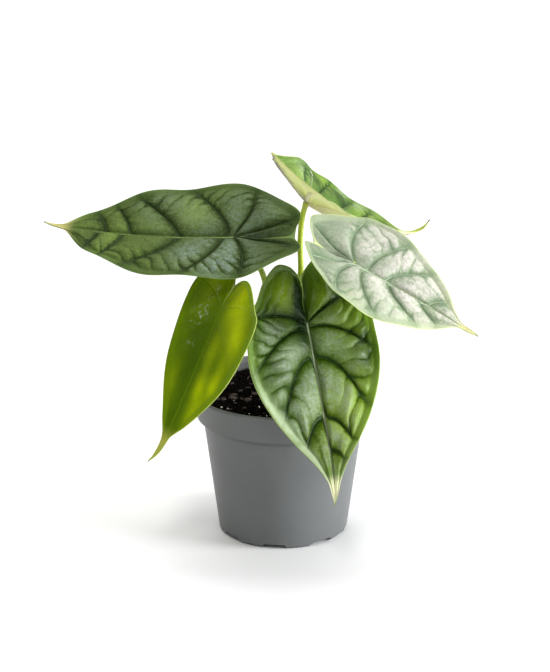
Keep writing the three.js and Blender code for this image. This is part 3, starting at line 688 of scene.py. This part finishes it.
def leafFinish(name, leaf, look):
    finish, shader = startFinish(f"leafTop_{name}")
    read = {key: readAttribute(key) for key in leafMaps}
    patches = surfaceNoise(45, 4, distortion=0.6)
    crinkles = surfaceNoise(380, 8, distortion=0.8)
    mottles = surfaceNoise(800, 5, distortion=0.3)
    grain = surfaceNoise(500, 3)
    veined, crinkle = look["veined"], look["crinkle"]
    wave = calc("ABSOLUTE", calc("SINE", times(read["phase"], math.pi)))
    wave = calc("POWER", wave, blade["scalePower"])
    scales = times(calc("SUBTRACT", wave, 0.65), read["zone"])
    ridge = plus(read["tone"], times(scales, veined))
    ridge = plus(ridge, times(calc("SUBTRACT", crinkles, 0.5), 1.3 * crinkle))

    # darker in the valleys and lighter on the pillows: the leaf's own darker veins, with painted shade in
    # the valleys
    colour = mixColour(between(ridge, 0.0, 1.0), look["deep"], look["face"])
    lime = times(read["lime"], between(ridge, 0.1, 0.8, 1 - veined))
    colour = mixColour(lime, colour, look["lime"])
    mottled = 0.3 * crinkle
    mottles = between(mottles, 0.3, 0.7, 1 - mottled, 1 + mottled)
    colour = unevenly(colour, times(between(patches, 0.3, 0.7, 0.85, 1.15), mottles))
    # silvering on the pillow tops where the silver patches lie: partly the leaf's own silver, partly painted
    # glints and sheen on the crests
    silverAndSheen = times(between(ridge, 0.3, 1.1), between(crinkles, *look["sheenRange"]))
    silverAndSheen = times(silverAndSheen, times(read["silverAndGlints"], look["silverAmount"]))
    offBand = calc("SUBTRACT", 1.0, read["band"])
    # darker beside the side veins, fading towards the rim: partly the veins' own dark green, partly painted
    # shade in their grooves
    halo = between(read["veinGap"], look["haloWidth"], 0.2, 0.0, look["haloAmount"])
    line = between(read["veinGap"], 0.5, 0.2, 0.0, look["lineAmount"])
    # paler margin where the pale patches lie: the margin's own paler green, lightened further as a painted
    # highlight along the rolled margin
    paleRim = times(read["band"], between(patches, 0.3, 0.6, 0.4, 0.9))
    for amount, key in (  # each over those before it
        (silverAndSheen, "silver"),
        (times(times(halo, read["inner"]), offBand), "halo"),
        # painted shade: darker green where the shade patches lie, in the halo colour
        (times(read["paintedShade"], look["paintedShade"]), "halo"),
        (times(line, offBand), "line"),
        (times(read["band"], look["rimAmount"]), "rim"),
        (times(read["pale"], paleRim), "paleRim"),
        (between(read["midGap"], 0.8, 0.3, 0.0, 0.7), "midrib"),
        (between(read["edgeGap"], 0.6, 0.1), "edge"),
        (between(read["tipShare"], 0.1, 0.6), "tip"),
    ):
        colour = mixColour(amount, colour, look[key])

    crinkled = between(read["band"], 0.0, 1.0, crinkle, 0.4 * crinkle)
    relief = plus(times(scales, leaf["scales"]), times(crinkles, crinkled))
    relief = plus(relief, between(read["veinGap"], 0.0, 0.9, -0.1 * veined, 0.0))
    skin = bump(relief, 1, 1)
    skin = bump(between(surfaceCells(750), 0.0, 0.12), 0.025, 0.5, skin)
    skin = bump(grain, 0.05, 0.5, skin)
    roughness = between(grain, 0.2, 0.8, look["roughness"] - 0.05, look["roughness"] + 0.1)
    setShader(shader, colour, roughness, skin, look["gloss"], {"Specular Tint": (0.9, 1, 0.75, 1)})
    # light that comes through the leaf
    glow = addNode("BsdfTranslucent", {"Color": linear(look["glow"]), "Normal": skin})
    shares = {0: min(look["through"], 0.1), 1: shader.outputs[0], 2: glow.outputs[0]}
    both = addNode("MixShader", shares)
    setInputs(finish.node_tree.nodes["Material Output"], {"Surface": both.outputs[0]})
    return finish


def underFinish(name, look):
    finish, shader = startFinish(f"leafUnder_{name}")
    patches = surfaceNoise(60, 4)
    colour = unevenly(look["under"], between(patches, 0.3, 0.7, 0.88, 1.1))
    sideRibs = between(readAttribute("veinGap"), 1.6, 0.5, 0.0, 0.7)
    colour = mixColour(sideRibs, colour, look["ribs"])
    midrib = between(readAttribute("midGap"), 2.4, 1.0, 0.0, 0.9)
    colour = mixColour(midrib, colour, look["ribs"])
    skin = bump(between(surfaceCells(700), 0.0, 0.15), 0.05, 0.6)
    skin = bump(surfaceNoise(600, 3), 0.05, 0.5, skin)
    setShader(shader, colour, 0.55, skin, 0.35, {
        "Subsurface Weight": look["through"], "Subsurface Scale": 1.0,
        "Subsurface Radius": (3 * mm, 3 * mm, 1.5 * mm)})
    return finish


def edgeFinish(name, look):
    finish, shader = startFinish(f"leafEdge_{name}")
    uneven = between(surfaceNoise(120, 2), 0.3, 0.7)
    colour = mixColour(uneven, look["edge"], look["rim"])
    setInputs(shader, {"Base Color": colour, "Roughness": 0.45})
    return finish


def makeBlades():
    for name, leaf in leaves.items():
        makeBlade(name, leaf, leafLooks[name])


# The stalks
stalk = {
    "footRadius": 2.9,
    "topRadius": 1.8,
    "footCircle": 6.9,
    "footZ": 84,
    "cormTop": 97,
    "into": 0.9,  # how far the stalk runs into the midrib's rib
    "around": 18,
    "step": 1.5,
    "sheathReach": 0.3,  # share of the length with the folded sheath
}


def splineAlong(points, step):  # centripetal curve through the points, at even steps
    points = np.array([2 * points[0] - points[1], *points, 2 * points[-1] - points[-2]])
    gaps = np.sqrt(np.linalg.norm(np.diff(points, axis=0), axis=1))
    places = []
    for i in range(1, len(points) - 2):
        before, start, end, after = points[i - 1:i + 3]
        first, middle, last = gaps[i - 1:i + 2]
        straight = (end - start) / middle
        leave = ((start - before) / first - (end - before) / (first + middle) + straight) * middle
        arrive = (straight - (after - start) / (middle + last) + (after - end) / last) * middle
        x = np.linspace(0, 1, 60, endpoint=False)[:, None]
        places.append(cubicBetween(start, end, leave, arrive, x))
    places = np.concatenate([*places, points[-2:-1]])
    lengths = np.concatenate([[0], np.cumsum(np.linalg.norm(np.diff(places, axis=0), axis=1))])
    even = np.linspace(0, lengths[-1], int(lengths[-1] / step) + 1)
    return np.stack([np.interp(even, lengths, places[:, axis]) for axis in range(3)], 1)


def makeStalk(name, leaf, finish):
    angle, route = math.radians(leaf["stem"][0]), leaf["stem"][1]
    x, y = stalk["footCircle"] * math.cos(angle), stalk["footCircle"] * math.sin(angle)
    midrib = midribOf(leaf)
    normal = midribAt(midrib, "normal", np.array([0.0]))[0]
    seat = np.array(leaf["junction"]) - normal * stalk["into"]
    points = [np.array((x, y, stalk["footZ"])), np.array((x, y, stalk["cormTop"] + 2))]
    points += [np.array(point) for point in route] + [seat]
    path = splineAlong(points, stalk["step"])
    tangents = np.gradient(path, axis=0)
    tangents /= np.linalg.norm(tangents, axis=1)[:, None]
    first = np.array((math.cos(angle), math.sin(angle), 0))
    outs = []
    for tangent in tangents:  # carries one direction along the path without twisting
        first = first - tangent * first.dot(tangent)
        first /= np.linalg.norm(first)
        outs.append(first)
    outs = np.array(outs)
    sides = np.cross(tangents, outs)
    piece, column, row = addGrid(stalk["around"] + 1, len(path))
    turn = 2 * np.pi * column / stalk["around"]
    share = row / (len(path) - 1)
    radius = stalk["topRadius"] + (stalk["footRadius"] - stalk["topRadius"]) * (1 - share) ** 2
    radius = radius * (1 + 0.25 * ease(share, 0.97, 1))  # swells where it meets the leaf
    inner = np.cos(turn - np.pi)  # 1 on the side that faces the other stalks
    sheath = 1 - ease(share, stalk["sheathReach"] * 0.6, stalk["sheathReach"])
    radius = radius * (1 + sheath * (0.1 - 0.35 * np.exp(-((1 - inner) / 0.12) ** 2)))
    offset = outs[row] * np.cos(turn)[:, None] + sides[row] * np.sin(turn)[:, None]
    setPlaces(piece, path[row] + offset * radius[:, None])
    setAttribute(piece, "share", share)
    setAttribute(piece, "sheath", sheath * np.exp(-((1 - inner) / 0.3) ** 2))
    weld(piece)
    faceOutwards(piece, closeEnds=True)
    bpy.ops.object.shade_smooth()
    finishPiece(piece, f"stalk_{name}", [finish], f"petiole_{name}")


def stalkFinish():
    finish, shader = startFinish("stalkSkin")
    share = readAttribute("share")
    streaks = surfaceNoise(260, 4, stretch=(1, 1, 0.12))
    colour = mixColour(between(share, 0.05, 0.5), (150, 146, 70), (164, 180, 40))
    colour = mixColour(between(streaks, 0.45, 0.75, 0.0, 0.35), colour, (156, 176, 30))
    colour = mixColour(between(share, 0.93, 1.0, 0.0, 0.7), colour, (190, 196, 96))
    colour = mixColour(readAttribute("sheath"), colour, (96, 84, 40))
    skin = bump(streaks, 0.15, 0.5)
    setShader(shader, colour, 0.38, skin, more={
        "Subsurface Weight": 0.1, "Subsurface Scale": 1.0, "Subsurface Radius": (4 * mm, 6 * mm, 1 * mm)})
    return finish


def makeStalks():
    finish = stalkFinish()
    for name, leaf in leaves.items():
        makeStalk(name, leaf, finish)
    print("stalks made")


# The pot
pot = {
    "rimRadius": 60, "height": 96.3, "lipHeight": 2.1, "lipInner": 58.3, "bandFoot": 77.1,
    "bandRadius": 55.5, "bandTopRadius": 57, "bodyTopRadius": 51.4, "bodyFootRadius": 41,
    "footRadius": 39.6, "wall": 1.1, "floor": 1.6, "ringFloor": 4.6, "ringRadius": 27, "around": 192,
}
drain = {"count": 8, "first": -8, "wide": 25, "narrow": 19, "height": 3, "depth": 9, "holeRadius": 2.6,
         "holeCircle": 33.5}


def bodyRadius(z):
    return pot["bodyFootRadius"] + (pot["bodyTopRadius"] - pot["bodyFootRadius"]) * z / pot["bandFoot"]


def turnProfile(profile, around):  # extrudes a disk up and in along (radius, z) pairs
    deselectAll()
    radius, z = profile[0]
    bpy.ops.mesh.primitive_circle_add(vertices=around, radius=radius * mm, fill_type="NGON",
                                      location=(0, 0, z * mm))
    bpy.ops.object.transform_apply()
    piece = bpy.context.object
    bpy.ops.object.mode_set(mode="EDIT")
    bpy.ops.mesh.select_all(action="SELECT")
    for nextRadius, nextZ in profile[1:]:
        bpy.ops.mesh.extrude_region_move(TRANSFORM_OT_translate={"value": (0, 0, (nextZ - z) * mm)})
        share = nextRadius / radius
        bpy.ops.transform.resize(value=(share, share, 1), center_override=(0, 0, 0))
        radius, z = nextRadius, nextZ
    faceOutwards(piece)
    return piece


def cutWith(piece, cutter):
    cut = piece.modifiers.new("cut", "BOOLEAN")
    cut.operation = "DIFFERENCE"
    cut.solver = "EXACT"
    cut.object = cutter
    applyModifiers(piece)
    bpy.data.objects.remove(cutter)


def drainCutter(degrees):  # a wedge, wider at the floor, and a drain hole through the ring above it
    reach = bodyRadius(drain["height"]) + 2
    root = pot["footRadius"] - drain["depth"]
    deselectAll()
    bpy.ops.mesh.primitive_cube_add(size=1)
    notch = bpy.context.object
    for vertex in notch.data.vertices:
        high = vertex.co.z > 0
        x = reach if vertex.co.x > 0 else root
        angle = math.radians((drain["narrow"] if high else drain["wide"]) / 2)
        side = 1 if vertex.co.y > 0 else -1
        vertex.co = Vector((x, side * x * math.tan(angle), drain["height"] if high else -1)) * mm
    bpy.ops.mesh.primitive_cylinder_add(vertices=24, radius=drain["holeRadius"] * mm, depth=6 * mm)
    hole = bpy.context.object
    hole.data.transform(Matrix.Translation(Vector((drain["holeCircle"], 0, 4)) * mm))
    pick(notch, hole)
    bpy.ops.object.join()
    notch.data.transform(Matrix.Rotation(math.radians(degrees), 4, "Z"))
    return notch


def makePot():
    foot, rim, inner, wall = pot["footRadius"], pot["rimRadius"], pot["lipInner"], pot["wall"]
    band, bandTop, bandFoot = pot["bandRadius"], pot["bandTopRadius"], pot["bandFoot"]
    top = pot["height"]
    lipFoot = top - pot["lipHeight"]
    profile = [
        (foot - 0.8, 0), (foot - 0.25, 0.15), (foot, 0.6),
        (bodyRadius(1.8), 1.8), (bodyRadius(20), 20), (bodyRadius(50), 50),
        (bodyRadius(bandFoot - 1.2), bandFoot - 1.2), (bodyRadius(bandFoot) + 0.25, bandFoot - 0.3),
        (pot["bodyTopRadius"] + 0.9, bandFoot), (band - 0.8, bandFoot),
        (band - 0.2, bandFoot + 0.25), (band, bandFoot + 0.8),
        (bandTop - 0.1, lipFoot - 0.5), (bandTop + 0.3, lipFoot),
        (rim - 0.5, lipFoot), (rim - 0.1, lipFoot + 0.2), (rim, lipFoot + 0.6),
        (rim, top - 0.6), (rim - 0.15, top - 0.2), (rim - 0.6, top),
        (inner + 0.5, top), (inner + 0.1, top - 0.2), (inner, top - 0.6),
        (bandTop - wall, lipFoot - 0.6), (band - wall, bandFoot + wall),
        (pot["bodyTopRadius"] - wall, bandFoot + wall - 0.3),
        (bodyRadius(pot["ringFloor"]) - wall, pot["ringFloor"]), (pot["ringRadius"], pot["ringFloor"]),
        (pot["ringRadius"] - 1.5, pot["floor"]),
    ]
    piece = turnProfile(profile, pot["around"])
    for i in range(drain["count"]):
        cutWith(piece, drainCutter(-90 + drain["first"] + i * 360 / drain["count"]))
    pick(piece)
    bpy.ops.object.shade_smooth_by_angle(angle=math.radians(40))
    finishPiece(piece, "nurseryPot", [potFinish()], "pot")
    print("pot made")


def potFinish():
    finish, shader = startFinish("potPlastic")
    cloud = surfaceNoise(14, 4)
    flow = surfaceNoise(90, 3, stretch=(1, 1, 0.15))
    dust = surfaceNoise(900, 2)
    colour = mixColour(between(cloud, 0.3, 0.7), (88, 90, 90), (97, 100, 100))
    colour = mixColour(between(flow, 0.5, 0.8, 0.0, 0.25), colour, (89, 92, 93))
    colour = mixColour(between(dust, 0.62, 0.72, 0.0, 0.2), colour, (126, 131, 134))
    rise = addNode("SeparateXYZ", {0: addNode("TexCoord", {}).outputs["Object"]}).outputs["Z"]
    bandFoot = pot["bandFoot"]
    paintedBandShade = between(rise, (bandFoot - 4.5) * mm, (bandFoot - 1.5) * mm, 0.0, 0.5)
    paintedBandShade = times(paintedBandShade, between(rise, (bandFoot + 0.8) * mm, bandFoot * mm))
    colour = mixColour(paintedBandShade, colour, (52, 54, 54))  # painted shade under the band
    skin = bump(dust, 0.04, 0.5)
    skin = bump(flow, 0.1, 0.3, skin)
    roughness = between(cloud, 0.3, 0.7, 0.42, 0.52)
    setShader(shader, colour, roughness, skin, 0.45)
    return finish


# The soil
soil = {
    "level": 89, "dome": 1.4, "bump": 1.1, "radius": 55.2, "rings": 90, "around": 240,
    "crumbs": 1500, "crumbSize": (0.5, 2.0), "flakes": 90, "flakeSize": (1.6, 3.6), "perlite": 70,
    "perliteSize": (0.5, 1.3), "seed": 12,
}


def soilHeight(x, y):
    r = np.hypot(x, y)
    wavy = np.sin(0.21 * x + 0.6) * np.cos(0.19 * y - 0.4) + 0.6 * np.sin(0.43 * x - 0.31 * y)
    clods = 0.5 * np.sin(0.9 * x + 0.5 * y) * np.sin(0.8 * y - 0.35 * x + 1)
    return soil["level"] + soil["dome"] * (1 - (r / 50) ** 2) + soil["bump"] * (wavy + clods) * 0.6


def scatterLumps(pattern, count, sizes, flatness, sink, draw):
    copies = []
    while len(copies) < count:
        size = draw.uniform(*sizes) * draw.uniform(0.5, 1)
        radius = (soil["radius"] - 0.5 - size) * math.sqrt(draw.random())
        turn = draw.uniform(0, 2 * math.pi)
        if radius < 9:
            continue
        x, y = radius * math.cos(turn), radius * math.sin(turn)
        copy = pattern.copy()
        copy.data = pattern.data.copy()
        spin = Matrix.Rotation(draw.uniform(0, 6.28), 4, "Z")
        spin = spin @ Matrix.Rotation(draw.uniform(-0.5, 0.5), 4, "X")
        height = size * flatness
        squeeze = Matrix.Diagonal((size, size * draw.uniform(0.5, 1), height * draw.uniform(0.7, 1.2), 1000))
        place = Matrix.Translation(Vector((x, y, soilHeight(x, y) + height * sink)) * mm)
        copy.data.transform(place @ spin @ (squeeze * mm))
        bpy.context.collection.objects.link(copy)
        copies.append(copy)
    return copies


def lumpPattern(name, finish, detail, roughen, draw):
    deselectAll()
    bpy.ops.mesh.primitive_ico_sphere_add(subdivisions=detail, radius=1)
    pattern = bpy.context.object
    for vertex in pattern.data.vertices:
        vertex.co *= 1 + draw.uniform(-roughen, roughen)
    pattern.data.materials.append(finish)
    pattern.name = name
    return pattern


def makeSoil():
    draw = random.Random(soil["seed"])
    rings = soil["rings"]
    piece, column, row = addGrid(soil["around"] + 1, rings + 2)  # two more rows: the side and the underside
    turn = 2 * np.pi * column / soil["around"]
    radius = soil["radius"] * np.minimum(row, rings - 1) / (rings - 1)
    rough = np.random.default_rng(soil["seed"])
    grainy = rough.normal(0, 0.35, (soil["around"], rings + 2))[column % soil["around"], row]
    grainy *= (row > 0) * ease(radius, soil["radius"], soil["radius"] - 4)
    z = soilHeight(radius * np.cos(turn), radius * np.sin(turn)) + grainy
    z = np.where(row < rings, z, soil["level"] - 4)
    radius = np.where(row < rings, radius, np.where(row == rings, soil["radius"] - 0.9, 0))
    setPlaces(piece, np.stack([radius * np.cos(turn), radius * np.sin(turn), z], 1))
    weld(piece)
    peat = peatFinish()
    colours = ((26, 17, 12), (60, 42, 30))
    bark = grainyFinish("barkFlakes", colours, (0.3, 0.7), (500, 4, (1, 0.2, 1)), 0.8, 0.4, 0.7)
    colours = ((150, 140, 126), (228, 224, 214))
    perlite = grainyFinish("perlite", colours, (0.3, 0.6), (1100, 4), 0.9, 0.4, 0.8)
    piece.data.materials.append(peat)
    lumps = []
    for name, finish, count, sizes, flatness, sink, roughen in (
        ("crumb", peat, soil["crumbs"], soil["crumbSize"], 0.8, 0.3, 0.25),
        ("flake", bark, soil["flakes"], soil["flakeSize"], 0.3, 0.5, 0.2),
        ("perlite", perlite, soil["perlite"], soil["perliteSize"], 0.9, 0.5, 0.15),
    ):
        pattern = lumpPattern(name, finish, 1 if name == "crumb" else 2, roughen, draw)
        lumps += scatterLumps(pattern, count, sizes, flatness, sink, draw)
        bpy.data.objects.remove(pattern)
    pick(piece, *lumps)
    bpy.ops.object.join()
    finishPiece(piece, "pottingSoil", [], "soil")
    print(f"soil made, {len(piece.data.polygons)} faces")


def peatFinish():
    finish, shader = startFinish("peat")
    crumbs = surfaceNoise(700, 6)
    patches = surfaceNoise(90, 4)
    colour = mixColour(between(crumbs, 0.35, 0.75), (4, 3, 2), (22, 15, 11))
    colour = mixColour(between(patches, 0.4, 0.7, 0.0, 0.6), colour, (10, 6, 5))
    skin = bump(crumbs, 0.8, 0.9)
    setShader(shader, colour, 0.9, skin, 0.05)
    return finish


# The corm
corm = {"radius": 11.5, "top": 97, "foot": 72, "around": 72, "rows": 60, "rings": 7}


def makeCorm():
    piece, column, row = addGrid(corm["around"] + 1, corm["rows"])
    turn = 2 * np.pi * column / corm["around"]
    share = row / (corm["rows"] - 1)
    profile = np.array([
        (0, 0), (0.45, 0), (0.8, 0.12), (0.98, 0.4), (0.96, 0.72), (0.85, 0.9), (0.6, 0.99), (0, 1.0)])
    steps = np.linspace(0, 1, len(profile))
    radius = corm["radius"] * np.interp(share, steps, profile[:, 0])
    z = corm["foot"] + (corm["top"] - corm["foot"]) * np.interp(share, steps, profile[:, 1])
    body = np.sin(np.pi * share)
    scars = 0.35 * np.abs(np.sin(np.pi * corm["rings"] * share + 0.4 * np.sin(turn))) * body
    lumps = 0.4 * np.sin(3 * turn + 1) * np.sin(5 * share + 1) * body
    radius = radius - 0.6 * body + scars + lumps
    setPlaces(piece, np.stack([radius * np.cos(turn), radius * np.sin(turn), z], 1))
    weld(piece)
    faceOutwards(piece)
    bpy.ops.object.shade_smooth()
    colours = ((70, 50, 30), (150, 122, 76))
    finish = grainyFinish("cormSkin", colours, (0.3, 0.7), (300, 5, (1, 1, 0.25)), 0.75, 0.6, 0.7)
    finishPiece(piece, "cormBody", [finish], "corm")
    print("corm made")


makeCamera()
makeStudio()
makePot()
makeSoil()
makeCorm()
makeStalks()
makeBlades()

deselectAll()
print("finished")
